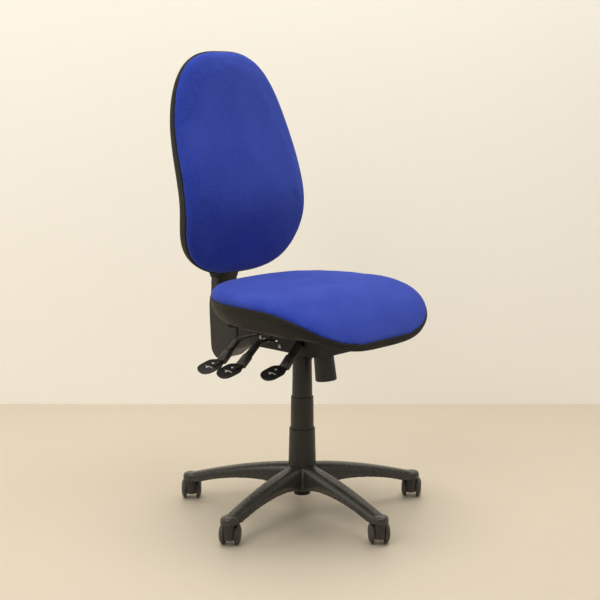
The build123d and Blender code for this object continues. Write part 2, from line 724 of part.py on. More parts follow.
def main():
    os.makedirs("parts", exist_ok=True)
    parts = {
        "star_base": make_star_base(),
        "lift_outer_tube": make_outer_tube(),
        "lift_guide_bush": make_guide_bush(),
        "lift_thrust_bearing": make_thrust_bearing(),
        "lift_piston_rod": make_piston_rod(),
        "lift_retaining_clip": disc(9.0, 44.1, 45.6) - disc(4.1, 44, 46),
        "lift_cylinder": make_cylinder(),
        "lift_valve_pin": disc(VALVE_PIN_R, CYLINDER_TOP_Z - VALVE_PIN_DEPTH, VALVE_PIN_TOP_Z),
        "cover_lower": make_cover(COVER_LOWER, 1.9),
        "cover_middle": make_cover(COVER_MIDDLE, 1.9),
        "cover_upper": make_cover_upper(),
        "mech_housing": make_tray(),
        "taper_socket": make_socket(),
        "seat_bracket": make_seat_bracket(),
        "seat_pivot_pin": pin_x(PIN_R, -64, 64, *SEAT_PIVOT),
        "back_pivot_pin": pin_x(PIN_R, -60, 60, *BACK_PIVOT),
        "back_bracket": make_back_bracket(),
        "j_bar": make_j_bar(),
        "tension_knob": make_knob(),
        "tension_screw": make_tension_screw(),
        "tension_nut": make_tension_nut(),
        "tension_spring": make_tension_spring(),
        "back_lever": make_side_lever(BACK_LEVER_Y),
        "seat_lever": make_side_lever(SEAT_LEVER_Y),
        "height_lever": make_height_lever(),
        "back_paddle": make_paddle(BACK_LEVER_Y),
        "seat_paddle": make_paddle(SEAT_LEVER_Y),
        "height_paddle": make_paddle(HEIGHT_LEVER_Y),
        "seat_board": make_seat_board(),
        "seat_cushion": make_seat_cushion(),
        "seat_shell": make_seat_shell(),
        "seat_bolts": make_seat_bolts(),
        "seat_t_nuts": make_t_nuts(),
        "upright_cover": make_upright_cover(),
        "back_board": make_back_board(),
        "back_cushion": make_back_cushion(),
        "back_shell": make_back_shell(),
        "back_slider": make_back_slider(),
        "back_bolts": make_back_bolts(),
    }
    castor = make_castor()
    stem = make_stem()
    parts["castor_stems"] = [castor_place(k) * stem for k in range(SPOKES)]
    for k in range(SPOKES):
        for piece, shape in castor.items():
            parts[f"castor_{k + 1}_{piece}"] = castor_place(k) * shape
    for name, shape in parts.items():
        solids = shape if isinstance(shape, list) else [shape]
        export_step(Compound(children=solids) if len(solids) > 1 else solids[0], f"parts/{name}.step")


main()
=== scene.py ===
import json
import math

import bmesh
import bpy
import numpy as np
from mathutils import Matrix, Vector


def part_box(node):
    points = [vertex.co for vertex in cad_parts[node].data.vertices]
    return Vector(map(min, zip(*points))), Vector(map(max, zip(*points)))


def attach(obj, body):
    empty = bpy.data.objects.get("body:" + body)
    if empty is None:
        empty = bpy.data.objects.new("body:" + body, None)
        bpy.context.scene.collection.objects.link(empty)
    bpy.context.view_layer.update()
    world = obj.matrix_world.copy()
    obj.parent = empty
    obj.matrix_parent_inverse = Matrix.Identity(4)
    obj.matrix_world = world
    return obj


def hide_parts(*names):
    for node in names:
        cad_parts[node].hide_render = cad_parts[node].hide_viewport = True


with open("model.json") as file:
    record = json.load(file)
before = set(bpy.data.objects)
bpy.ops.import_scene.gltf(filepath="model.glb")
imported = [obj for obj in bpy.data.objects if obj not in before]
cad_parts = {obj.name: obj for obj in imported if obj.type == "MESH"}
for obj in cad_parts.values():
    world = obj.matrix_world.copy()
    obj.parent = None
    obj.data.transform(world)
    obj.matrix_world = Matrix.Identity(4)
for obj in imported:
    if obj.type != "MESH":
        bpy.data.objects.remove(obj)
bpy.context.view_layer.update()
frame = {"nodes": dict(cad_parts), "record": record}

NODES = frame["nodes"]
MM = 0.001


# ---- camera, floor and light -----------------------------------------------------------------

VIEW_TURN = math.radians(47.0)
CAMERA_DISTANCE = 2.9865
CAMERA_HEIGHT = 1.068
CAMERA_PITCH = math.radians(10.18)
CAMERA_PAN = math.radians(0.103)
CAMERA_LENS = 75.48
STUDIO_SIZE = 14.0
WALL_DISTANCE = 1.025


def add_camera():
    data = bpy.data.cameras.new("camera")
    data.lens = CAMERA_LENS
    data.sensor_width = 36.0
    camera = bpy.data.objects.new("camera", data)
    bpy.context.collection.objects.link(camera)
    out = Vector((math.sin(VIEW_TURN), math.cos(VIEW_TURN), 0.0)) * -CAMERA_DISTANCE
    camera.location = out + Vector((0.0, 0.0, CAMERA_HEIGHT))
    camera.rotation_euler = (math.pi / 2 - CAMERA_PITCH, 0.0, -VIEW_TURN + CAMERA_PAN)
    bpy.context.scene.camera = camera


def one_sided(material):
    """Clear from behind, so that the studio never hides the chair from its sides, back or underside."""
    tree = material.node_tree
    side = tree.nodes.new("ShaderNodeNewGeometry")
    clear = tree.nodes.new("ShaderNodeBsdfTransparent")
    mix = tree.nodes.new("ShaderNodeMixShader")
    tree.links.new(side.outputs["Backfacing"], mix.inputs[0])
    tree.links.new(tree.nodes["Principled BSDF"].outputs[0], mix.inputs[1])
    tree.links.new(clear.outputs[0], mix.inputs[2])
    tree.links.new(mix.outputs[0], tree.nodes["Material Output"].inputs["Surface"])


def add_plane(name, size, place, turn, colour, roughness, glow):
    mesh = bpy.data.meshes.new(name)
    half = size / 2
    corners = [(-half, -half, 0), (half, -half, 0), (half, half, 0), (-half, half, 0)]
    mesh.from_pydata(corners, [], [(0, 1, 2, 3)])
    plane = bpy.data.objects.new(name, mesh)
    plane.matrix_world = Matrix.Translation(place) @ turn
    bpy.context.collection.objects.link(plane)
    material = bpy.data.materials.new(name)
    material.use_nodes = True
    shader = material.node_tree.nodes["Principled BSDF"]
    shader.inputs["Base Color"].default_value = (*colour, 1.0)
    shader.inputs["Roughness"].default_value = roughness
    shader.inputs["Emission Color"].default_value = (*colour, 1.0)
    shader.inputs["Emission Strength"].default_value = glow
    one_sided(material)
    mesh.materials.append(material)


def add_light(name, place, target, size, power, colour):
    data = bpy.data.lights.new(name, "AREA")
    data.shape = "SQUARE"
    data.size = size
    data.energy = power
    data.color = colour
    light = bpy.data.objects.new(name, data)
    light.location = place
    aim = Vector(target) - Vector(place)
    light.rotation_euler = aim.to_track_quat("-Z", "Y").to_euler()
    bpy.context.collection.objects.link(light)


def beside_camera(right, forward, up):
    """A place given as seen from the camera: to its right, away from it and up, about the chair."""
    c, s = math.cos(VIEW_TURN), math.sin(VIEW_TURN)
    return Vector((c * right + s * forward, -s * right + c * forward, up))


def add_studio():
    add_plane("floor", STUDIO_SIZE, (0, 0, 0), Matrix.Identity(4), (0.63, 0.555, 0.44), 0.5, 0.0)
    upright = Matrix.Rotation(-VIEW_TURN, 4, "Z") @ Matrix.Rotation(math.pi / 2, 4, "X")
    wall = beside_camera(0, WALL_DISTANCE, 0)
    add_plane("backdrop", STUDIO_SIZE, wall, upright, (0.96, 0.935, 0.86), 0.9, 0.055)
    target = (0, 0, 0.6)
    add_light("key", beside_camera(-1.8, -2.4, 3.0), target, 2.2, 44, (1.0, 0.97, 0.92))
    add_light("fill", beside_camera(2.6, -1.8, 1.9), target, 2.6, 5, (1.0, 0.98, 0.95))
    add_light("side", beside_camera(-3.0, -0.2, 1.3), (0, 0, 0.7), 1.8, 12, (1.0, 0.98, 0.94))
    add_light("top", beside_camera(0.2, 0.2, 3.4), target, 2.4, 78, (1.0, 0.98, 0.95))
    world = bpy.data.worlds.new("room")
    world.use_nodes = True
    world.node_tree.nodes["Background"].inputs["Color"].default_value = (1.0, 0.96, 0.90, 1.0)
    world.node_tree.nodes["Background"].inputs["Strength"].default_value = 0.36
    bpy.context.scene.world = world
    bpy.context.scene.view_settings.view_transform = "Standard"


# ---- materials -------------------------------------------------------------------------------


class Nodes:
    """A short way to write the node tree of one new material."""

    def __init__(self, name):
        self.material = bpy.data.materials.new(name)
        self.material.use_nodes = True
        self.tree = self.material.node_tree
        self.shader = self.tree.nodes["Principled BSDF"]
        self.place = self.add("ShaderNodeTexCoord").outputs["Object"]

    def add(self, kind, **settings):
        node = self.tree.nodes.new(kind)
        for key, value in settings.items():
            setattr(node, key, value)
        return node

    def link(self, source, target):
        self.tree.links.new(source, target)

    def noise(self, scale, detail=2.0, roughness=0.5, vector=None):
        node = self.add("ShaderNodeTexNoise")
        node.inputs["Scale"].default_value = scale
        node.inputs["Detail"].default_value = detail
        node.inputs["Roughness"].default_value = roughness
        self.link(vector or self.place, node.inputs["Vector"])
        return node.outputs["Fac"]

    def math(self, operation, a, b=None):
        node = self.add("ShaderNodeMath", operation=operation)
        for socket, value in zip(node.inputs, (a, b)):
            if value is None:
                continue
            if isinstance(value, (int, float)):
                socket.default_value = value
            else:
                self.link(value, socket)
        return node.outputs[0]

    def span(self, value, low, high, to_low, to_high):
        node = self.add("ShaderNodeMapRange")
        self.link(value, node.inputs["Value"])
        limits = {"From Min": low, "From Max": high, "To Min": to_low, "To Max": to_high}
        for key, number in limits.items():
            node.inputs[key].default_value = number
        return node.outputs["Result"]

    def blend(self, factor, first, second):
        node = self.add("ShaderNodeMix", data_type="RGBA")
        self.link(factor, node.inputs["Factor"])
        for socket, colour in ((node.inputs[6], first), (node.inputs[7], second)):
            if isinstance(colour, tuple):
                socket.default_value = (*colour, 1.0)
            else:
                self.link(colour, socket)
        return node.outputs[2]

    def bump(self, height, distance, strength=1.0, under=None):
        node = self.add("ShaderNodeBump")
        node.inputs["Distance"].default_value = distance
        node.inputs["Strength"].default_value = strength
        self.link(height, node.inputs["Height"])
        if under is not None:
            self.link(under, node.inputs["Normal"])
        return node.outputs["Normal"]

    def set(self, **values):
        for key, value in values.items():
            socket = self.shader.inputs[key.replace("_", " ")]
            if isinstance(value, (int, float)):
                socket.default_value = value
            elif isinstance(value, tuple):
                socket.default_value = (*value, 1.0)
            else:
                self.link(value, socket)
        return self.material


def plastic(name, dark, light, roughness, grain=1400.0, gloss=0.45):
    """Moulded plastic: fine spark grain, faint mottling, and scuffs that are paler and duller."""
    n = Nodes(name)
    mottle = n.noise(38.0, 3.0, 0.6)
    grain_height = n.noise(grain, 2.0, 0.6)
    scuff = n.span(n.noise(160.0, 5.0, 0.7), 0.56, 0.72, 0.0, 1.0)
    colour = n.blend(mottle, dark, light)
    worn = tuple(min(1.0, 2.4 * c + 0.02) for c in light)
    colour = n.blend(n.math("MULTIPLY", scuff, 0.35), colour, worn)
    uneven = n.span(mottle, 0.3, 0.7, roughness - 0.06, roughness + 0.06)
    shine = n.math("ADD", uneven, n.math("MULTIPLY", scuff, 0.08))
    relief = n.bump(grain_height, 0.00012, 0.8)
    return n.set(Base_Color=colour, Roughness=shine, Specular_IOR_Level=gloss, Normal=relief)


def painted_steel(name):
    """Black powder coat with a slight orange peel."""
    n = Nodes(name)
    peel = n.noise(520.0, 2.0, 0.5)
    mottle = n.noise(22.0, 3.0, 0.6)
    colour = n.blend(mottle, (0.006, 0.006, 0.006), (0.012, 0.0115, 0.011))
    shine = n.span(mottle, 0.3, 0.7, 0.44, 0.56)
    relief = n.bump(peel, 0.00015, 0.5)
    return n.set(Base_Color=colour, Roughness=shine, Specular_IOR_Level=0.35, Normal=relief)


def bare_metal(name, colour, roughness, stain):
    """Plated or ground steel, brushed and lightly stained."""
    n = Nodes(name)
    brushed = n.noise(900.0, 3.0, 0.6)
    patch = n.noise(70.0, 4.0, 0.6)
    tone = n.blend(n.span(patch, 0.35, 0.7, 0.0, 1.0), colour, stain)
    shine = n.span(brushed, 0.3, 0.7, roughness - 0.05, roughness + 0.08)
    return n.set(Base_Color=tone, Metallic=1.0, Roughness=shine, Normal=n.bump(brushed, 0.00005, 0.5))


def plywood(name):
    """Beech ply, its grain drawn out across the board."""
    n = Nodes(name)
    stretch = n.add("ShaderNodeMapping")
    stretch.inputs["Scale"].default_value = (60.0, 3.0, 60.0)
    n.link(n.place, stretch.inputs["Vector"])
    grain = n.noise(6.0, 6.0, 0.65, stretch.outputs[0])
    colour = n.blend(grain, (0.36, 0.22, 0.11), (0.60, 0.43, 0.26))
    shine = n.span(grain, 0.3, 0.7, 0.55, 0.75)
    return n.set(Base_Color=colour, Roughness=shine, Normal=n.bump(grain, 0.0002, 0.5))


THREAD = 0.0013
THREAD_WANDER = 0.0012


def fabric(name):
    """Royal blue weave: threads along each axis that lies in the surface, with slubs and fuzz, and painted
    shade in the gaps between the threads.
    """
    n = Nodes(name)
    place = n.add("ShaderNodeSeparateXYZ")
    facing = n.add("ShaderNodeSeparateXYZ")
    wander = n.add("ShaderNodeTexNoise")
    wander.inputs["Scale"].default_value = 90.0
    n.link(n.place, wander.inputs["Vector"])
    shifted = n.add("ShaderNodeVectorMath", operation="MULTIPLY_ADD")
    n.link(wander.outputs["Color"], shifted.inputs[0])
    shifted.inputs[1].default_value = (THREAD_WANDER, THREAD_WANDER, THREAD_WANDER)
    n.link(n.place, shifted.inputs[2])
    n.link(shifted.outputs[0], place.inputs[0])
    n.link(n.add("ShaderNodeNewGeometry").outputs["Normal"], facing.inputs[0])
    weave = None
    for axis in range(3):
        wave = n.math("SINE", n.math("MULTIPLY", place.outputs[axis], 2 * math.pi / THREAD))
        along = n.math("SUBTRACT", 1.0, n.math("ABSOLUTE", facing.outputs[axis]))
        part = n.math("MULTIPLY", n.math("ABSOLUTE", wave), along)
        weave = part if weave is None else n.math("ADD", weave, part)
    fuzz = n.noise(1700.0, 3.0, 0.7)
    slub = n.noise(330.0, 3.0, 0.6)
    cloud = n.noise(9.0, 3.0, 0.55)
    height = n.math("ADD", n.math("MULTIPLY", weave, 0.55), n.math("MULTIPLY", fuzz, 0.9))
    tone = n.blend(n.span(slub, 0.32, 0.68, 0.0, 1.0), (0.016, 0.036, 0.33), (0.036, 0.072, 0.48))
    # Painted shade: the colour darkens towards deep blue in the gaps between threads, where the weave's
    # height is low.
    tone = n.blend(n.math("MULTIPLY", n.span(weave, 0.0, 1.4, 1.0, 0.0), 0.55), tone, (0.010, 0.019, 0.17))
    tone = n.blend(n.span(cloud, 0.40, 0.66, 0.0, 0.22), tone, (0.062, 0.108, 0.53))
    n.shader.inputs["Sheen Tint"].default_value = (0.45, 0.55, 1.0, 1.0)
    return n.set(
        Base_Color=tone,
        Roughness=n.span(slub, 0.3, 0.7, 0.82, 0.95),
        Specular_IOR_Level=0.12,
        Sheen_Weight=0.22,
        Sheen_Roughness=0.45,
        Normal=n.bump(height, 0.00035, 0.7),
    )


def paint(name):
    """White printed ink of the lever symbols, slightly worn."""
    n = Nodes(name)
    wear = n.span(n.noise(700.0, 3.0, 0.6), 0.35, 0.6, 0.0, 1.0)
    colour = n.blend(wear, (0.60, 0.59, 0.57), (0.88, 0.87, 0.85))
    return n.set(Base_Color=colour, Roughness=n.span(wear, 0, 1, 0.6, 0.45))


PLASTICS = {
    "shell_plastic": ("shell_grain", (0.007, 0.0067, 0.0053), (0.012, 0.0112, 0.0088), 0.58, 1400.0, 0.26),
    "base_nylon": ("base_grain", (0.030, 0.028, 0.0225), (0.050, 0.0465, 0.037), 0.27, 1100.0),
    "cover_plastic": ("cover_grain", (0.012, 0.0112, 0.010), (0.020, 0.0186, 0.016), 0.44),
    "castor_hood": ("castor_hood_grain", (0.022, 0.019, 0.017), (0.036, 0.032, 0.028), 0.42),
    "castor_wheel": ("castor_wheel_grain", (0.030, 0.028, 0.022), (0.055, 0.050, 0.041), 0.44),
    "paddle_plastic": ("paddle_grain", (0.020, 0.018, 0.017), (0.034, 0.031, 0.029), 0.38),
    "knob_plastic": ("knob_grain", (0.016, 0.016, 0.015), (0.026, 0.026, 0.024), 0.45),
    "bush_plastic": ("natural_acetal", (0.62, 0.60, 0.54), (0.70, 0.68, 0.62), 0.4),
}
METALS = {
    "zinc_steel": ("zinc_plate", (0.62, 0.62, 0.60), 0.32, (0.48, 0.46, 0.42)),
    "bright_steel": ("ground_steel", (0.72, 0.72, 0.72), 0.2, (0.55, 0.54, 0.52)),
    "spring_steel": ("oiled_spring_steel", (0.12, 0.115, 0.11), 0.38, (0.06, 0.055, 0.05)),
}


def make_materials():
    """One material for each slot of the record, and the ink of the lever symbols."""
    materials = {slot: plastic(*values) for slot, values in PLASTICS.items()}
    materials |= {slot: bare_metal(*values) for slot, values in METALS.items()}
    materials["blue_fabric"] = fabric("blue_fabric_weave")
    materials["black_steel"] = painted_steel("black_powder_coat")
    materials["plywood"] = plywood("beech_plywood")
    materials["ink"] = paint("white_ink")
    return materials


# ---- mesh helpers ----------------------------------------------------------------------------


def mesh_object(name, points, faces, smooth=True):
    mesh = bpy.data.meshes.new(name)
    mesh.from_pydata([tuple(map(float, p)) for p in points], [], faces)
    mesh.validate()
    piece = bpy.data.objects.new(name, mesh)
    bpy.context.collection.objects.link(piece)
    for polygon in mesh.polygons:
        polygon.use_smooth = smooth
    return piece


def ring_faces(rows, count):
    """Four-sided faces between loops of equal length."""
    faces = []
    for r in range(rows - 1):
        for k in range(count):
            n = (k + 1) % count
            faces.append((r * count + k, r * count + n, (r + 1) * count + n, (r + 1) * count + k))
    return faces


def capped_rows(rows):
    """Points and faces of a closed form from loops of equal length, with a flat face at each end."""
    count = len(rows[0])
    last = (len(rows) - 1) * count
    faces = ring_faces(len(rows), count)
    faces += [tuple(range(count))[::-1], tuple(last + k for k in range(count))]
    return [tuple(point) for row in rows for point in row], faces


def finish_piece(piece, material, slot, body, *nodes):
    piece.data.materials.clear()
    piece.data.materials.append(MATERIALS[material])
    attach(piece, body)
    if nodes:
        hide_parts(*nodes)
    return piece


def apply_modifiers(piece):
    graph = bpy.context.evaluated_depsgraph_get()
    mesh = bpy.data.meshes.new_from_object(piece.evaluated_get(graph))
    piece.modifiers.clear()
    old = piece.data
    piece.data = mesh
    bpy.data.meshes.remove(old)
    for polygon in mesh.polygons:
        polygon.use_smooth = True


def read_points(piece):
    flat = np.empty(len(piece.data.vertices) * 3)
    piece.data.vertices.foreach_get("co", flat)
    return flat.reshape(-1, 3)


def write_points(piece, points):
    piece.data.vertices.foreach_set("co", points.ravel())
    piece.data.update()


def outward(piece):
    shell = bmesh.new()
    shell.from_mesh(piece.data)
    bmesh.ops.recalc_face_normals(shell, faces=shell.faces)
    shell.to_mesh(piece.data)
    shell.free()


def even_mesh(piece, voxel):
    """One closed skin of even faces round everything in the piece."""
    remesh = piece.modifiers.new("even", "REMESH")
    remesh.mode = "VOXEL"
    remesh.voxel_size = voxel
    apply_modifiers(piece)


def soften(piece, iterations):
    smooth = piece.modifiers.new("soft", "SMOOTH")
    smooth.factor = 0.5
    smooth.iterations = iterations


VOXEL = 0.0055
PUFF_CAP = 0.0020
PUFF_PRESSURE = 4.0
PUFF_STEPS = 18


def puffed(piece, held):
    """Where a cloth blown up under pressure comes to, each point moved by no more than the cap."""
    rest = read_points(piece)
    group = piece.vertex_groups.new(name="held")
    group.add([int(i) for i in np.nonzero(held(rest))[0]], 1.0, "ADD")
    cloth = piece.modifiers.new("cloth", "CLOTH")
    cloth.settings.vertex_group_mass = "held"
    cloth.settings.use_pressure = True
    cloth.settings.uniform_pressure_force = PUFF_PRESSURE
    cloth.settings.effector_weights.gravity = 0.0
    cloth.point_cache.frame_end = PUFF_STEPS
    for step in range(1, PUFF_STEPS + 1):
        bpy.context.scene.frame_set(step)
    graph = bpy.context.evaluated_depsgraph_get()
    moved = np.empty(len(rest) * 3)
    piece.evaluated_get(graph).data.vertices.foreach_get("co", moved)
    push = moved.reshape(-1, 3) - rest
    length = np.linalg.norm(push, axis=1, keepdims=True)
    push *= np.minimum(1.0, PUFF_CAP / np.maximum(length, 1e-9))
    return rest + push


def upholster(piece, held):
    """Cloth over foam: an even mesh is blown up a little, with its tucked edge held, then smoothed."""
    even_mesh(piece, VOXEL)
    shape = puffed(piece, held)
    piece.modifiers.clear()
    piece.vertex_groups.clear()
    write_points(piece, shape)
    bpy.context.scene.frame_set(1)
    soften(piece, 9)
    finer = piece.modifiers.new("finer", "SUBSURF")
    finer.levels = 1
    apply_modifiers(piece)


def smooth_curve(xs, ys):
    """Natural cubic spline through a few points."""
    xs, ys = np.asarray(xs), np.asarray(ys)
    count = len(xs)
    gap = np.diff(xs)
    sums = np.eye(count)
    turns = np.zeros(count)
    for i in range(1, count - 1):
        sums[i, i - 1 : i + 2] = gap[i - 1], 2 * (gap[i - 1] + gap[i]), gap[i]
        turns[i] = 6 * ((ys[i + 1] - ys[i]) / gap[i] - (ys[i] - ys[i - 1]) / gap[i - 1])
    bend = np.linalg.solve(sums, turns)

    def curve(x):
        x = np.asarray(x, dtype=float)
        i = np.clip(np.searchsorted(xs, x) - 1, 0, count - 2)
        before, after = x - xs[i], xs[i + 1] - x
        cubic = (bend[i] * after**3 + bend[i + 1] * before**3) / (6 * gap[i])
        left = (ys[i] / gap[i] - bend[i] * gap[i] / 6) * after
        right = (ys[i + 1] / gap[i] - bend[i + 1] * gap[i] / 6) * before
        return cubic + left + right

    return curve


def closed_rings(name, rings):
    """A closed form from loops of equal length, its first and last loops filled across."""
    piece = mesh_object(name, *capped_rows(rings))
    filled = bmesh.new()
    filled.from_mesh(piece.data)
    caps = [face for face in filled.faces if len(face.verts) > 4]
    bmesh.ops.triangulate(filled, faces=caps, ngon_method="BEAUTY")
    filled.to_mesh(piece.data)
    filled.free()
    outward(piece)
    return piece


def turned_ring(profile, x, y):
    """A ring turned about an upright axis from a closed profile of radius and height in millimetres."""
    turns = np.linspace(0, 2 * math.pi, 64, endpoint=False)
    points = []
    for radius, height in profile:
        r, z = radius * MM, height * MM
        points += [(x + r * math.cos(t), y + r * math.sin(t), z) for t in turns]
    faces = ring_faces(len(profile) + 1, len(turns))
    return points, [tuple(k % len(points) for k in face) for face in faces]


# ---- star base -------------------------------------------------------------------------------

SPOKES = 5
FIRST_SPOKE = math.radians(44.3)
STEM_CIRCLE = 0.2950
SPOKE_START = 0.020
SPOKE_RUN = 0.290
SPOKE_TOP_Z = 0.1235
SPOKE_TOP_DROP = 0.0565
SPOKE_TOP_POWER = 1.53
SPOKE_HALF = 0.0285
SPOKE_NARROWING = 0.0105
SPOKE_WALL = 0.0055
SPOKE_ROOF = 0.006
SPOKE_LEAN = 0.10
WALL_POWER, BACK_POWER = 0.56, 0.62
SECTION_STEPS = 16
HOLLOW_FROM, HOLLOW_TO = 0.042, 0.262
HOLLOW_SLOPE = 0.006
HOLLOW_LEAST = 0.04
BASE_VOXEL = 0.0022
ARCH_RADIUS = (0.020, 0.050, 0.080, 0.120, 0.160, 0.200, 0.235, 0.256, 0.270, 0.298)
ARCH_Z = (0.063, 0.0690, 0.0760, 0.0785, 0.0765, 0.0710, 0.0635, 0.0575, 0.0540, 0.0540)
spoke_arch = smooth_curve(ARCH_RADIUS, ARCH_Z)
HUB = (
    (21.2, 61.0), (35.0, 61.0), (37.4, 62.5), (38.0, 66.0), (36.6, 92.0), (34.4, 117.5),
    (33.0, 120.6), (30.5, 121.6), (21.3, 121.6),
)  # fmt: skip
TIP = (
    (6.2, 53.5), (18.6, 53.5), (20.0, 55.0), (20.0, 64.0), (19.0, 68.2), (16.2, 70.6),
    (12.0, 71.4), (0.2, 71.6), (0.2, 66.2), (6.2, 66.2),
)  # fmt: skip


def spoke_section(r):
    """A trough turned over: rounded back, steep walls, and a hollow that ends at the hub and tip."""
    run = (r - SPOKE_START) / SPOKE_RUN
    top = SPOKE_TOP_Z - SPOKE_TOP_DROP * run**SPOKE_TOP_POWER
    low = float(spoke_arch(r))
    half = SPOKE_HALF - SPOKE_NARROWING * run
    inside = min((r - HOLLOW_FROM) / HOLLOW_SLOPE, (HOLLOW_TO - r) / HOLLOW_SLOPE)
    hollow = min(1.0, max(HOLLOW_LEAST, inside))
    outer, inner = [], []
    for k in range(SECTION_STEPS + 1):
        turn = math.pi * k / SECTION_STEPS
        across = math.copysign(abs(math.cos(turn)) ** WALL_POWER, math.cos(turn))
        up = math.sin(turn) ** BACK_POWER
        outer.append((half * across * (1 - SPOKE_LEAN * up), low + (top - low) * up))
        roof = (top - low - SPOKE_ROOF) * hollow * up
        inner.append(((half - SPOKE_WALL) * across, low - 0.001 + roof))
    return outer + inner[::-1]


def spoke_points(angle):
    """The sections of one spoke in turn, closer together where its hollow starts and ends."""
    c, s = math.cos(angle), math.sin(angle)
    stations = [0.024, *np.linspace(0.036, 0.054, 7)]
    stations += [*np.linspace(0.062, 0.246, 24), *np.linspace(0.252, 0.292, 12)]
    rows = []
    for r in stations:
        rows.append([(r * c - across * s, r * s + across * c, z) for across, z in spoke_section(r)])
    return rows


def joined_form(points, faces, more, more_faces):
    """Two forms as one list of points and one of faces."""
    first = len(points)
    return points + more, faces + [tuple(first + k for k in face) for face in more_faces]


def make_base():
    """Five arched spokes run into the hub and end in round bosses over the castor stems."""
    points, faces = turned_ring(HUB, 0.0, 0.0)
    for spoke in range(SPOKES):
        angle = FIRST_SPOKE + 2 * math.pi * spoke / SPOKES
        tip = turned_ring(TIP, STEM_CIRCLE * math.cos(angle), STEM_CIRCLE * math.sin(angle))
        points, faces = joined_form(points, faces, *tip)
        points, faces = joined_form(points, faces, *capped_rows(spoke_points(angle)))
    base = mesh_object("base_moulding", points, faces)
    outward(base)
    even_mesh(base, BASE_VOXEL)
    soften(base, 4)
    apply_modifiers(base)
    finish_piece(base, "base_nylon", "base_nylon", "base", "star_base")


# ---- seat ------------------------------------------------------------------------------------

SEAT_LOW, SEAT_HIGH = (Vector(c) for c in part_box("seat_cushion"))
SEAT_HALF_W = (SEAT_HIGH.x - SEAT_LOW.x) / 2
SEAT_HALF_D = (SEAT_HIGH.y - SEAT_LOW.y) / 2 + 0.002
SEAT_MID_Y = (SEAT_HIGH.y + SEAT_LOW.y) / 2 - 0.004
SEAT_EDGE_Z = 0.548
SEAT_WATERFALL = 0.081
WATERFALL_POWER = 3.3
FRONT_POWER = 3.3
REAR_POWER = 2.8
REAR_TAPER = 0.1
CORNER_DROOP = 0.006


def seat_edge(y):
    """Height of the fabric's edge: level, then falling to the front."""
    forward = np.clip((SEAT_MID_Y - y) / SEAT_HALF_D, 0.0, 1.05)
    return SEAT_EDGE_Z - SEAT_WATERFALL * forward**WATERFALL_POWER


def seat_ring(turns, inset, height):
    """A loop of the seat's outline, shrunk by inset, at a height above the edge line."""
    c, s = np.cos(turns), np.sin(turns)
    power = 2.0 / np.where(s < 0, FRONT_POWER, REAR_POWER)
    x = (SEAT_HALF_W - inset) * np.sign(c) * np.abs(c) ** power
    y = (SEAT_HALF_D - inset) * np.sign(s) * np.abs(s) ** power
    x = x * (1.0 - REAR_TAPER * np.clip(y / SEAT_HALF_D, 0, 1) ** 1.5)
    forward = np.clip(-y / SEAT_HALF_D, 0, 1)
    droop = CORNER_DROOP * forward**2 * np.abs(x / SEAT_HALF_W) ** 3
    y = y + SEAT_MID_Y
    return np.stack([x, y, seat_edge(y) - droop + height], axis=1)


SEAT_TUCK = ((110, -4.0), (50, -4.0), (10, -4.0), (5, -3.0), (2.2, -0.5), (0.8, 2.5))
SEAT_WIDEST = 0.006
SEAT_TOP, SEAT_TOP_GAIN = 0.0205, 0.0085
SEAT_SHOULDER, SEAT_SHOULDER_GAIN = 0.026, 0.030
SEAT_CROWN = 0.0042
SEAT_INNERMOST = 0.208
SEAT_HELD = 0.004


def make_seat_cushion():
    """Tucked edge, rounded shoulder that is longer at the front, and a low crown over the foam."""
    turns = np.linspace(0, 2 * math.pi, 168, endpoint=False)
    rim_y = seat_ring(turns, 0.0, 0.0)[:, 1]
    forward = np.clip((SEAT_MID_Y - rim_y) / SEAT_HALF_D, 0, 1) ** 1.5
    shoulder = SEAT_SHOULDER + SEAT_SHOULDER_GAIN * forward
    rearward = np.clip((rim_y - SEAT_LOW.y) / (2 * SEAT_HALF_D), 0, 1)
    top = SEAT_TOP + SEAT_TOP_GAIN * rearward
    rings = [seat_ring(turns, inset * MM, height * MM) for inset, height in SEAT_TUCK]
    for step in range(10):
        lean = math.radians(10 * step)
        rise = SEAT_WIDEST + (top - SEAT_WIDEST) * math.sin(lean)
        rings.append(seat_ring(turns, shoulder * (1 - math.cos(lean)), rise))
    for along in (0.12, 0.26, 0.40, 0.54, 0.68, 0.82, 1.0):
        inset = shoulder + (SEAT_INNERMOST - shoulder) * along
        rings.append(seat_ring(turns, inset, top + SEAT_CROWN * (1 - (1 - along) ** 2)))
    cushion = closed_rings("seat_upholstery", rings)
    upholster(cushion, lambda p: p[:, 2] < seat_edge(p[:, 1]) + SEAT_HELD)
    finish_piece(cushion, "blue_fabric", "blue_fabric", "seat", "seat_cushion")


SHELL_LOW_Z = 0.484
FLOOR_BLEND = 0.008
SHELL_FRONT_DEPTH = 0.036
SHELL_CORNER = 0.072
SHELL_FRONT_CORNER = 0.040
SHELL_LIP = (
    (9.0, 0.5), (6.0, 2.0), (3.0, 2.4), (0.9, 1.4), (0.2, -0.4), (0.5, -2.6), (2.0, -4.4), (2.6, -6.0),
)  # fmt: skip
LIP_INSET, LIP_DEPTH = 0.0026, 0.006


def seat_floor(y):
    """Underside of the bowl: level, then following the waterfall."""
    below = SHELL_LOW_Z - seat_edge(y) + SHELL_FRONT_DEPTH
    return SHELL_LOW_Z - FLOOR_BLEND * np.log1p(np.exp(below / FLOOR_BLEND))


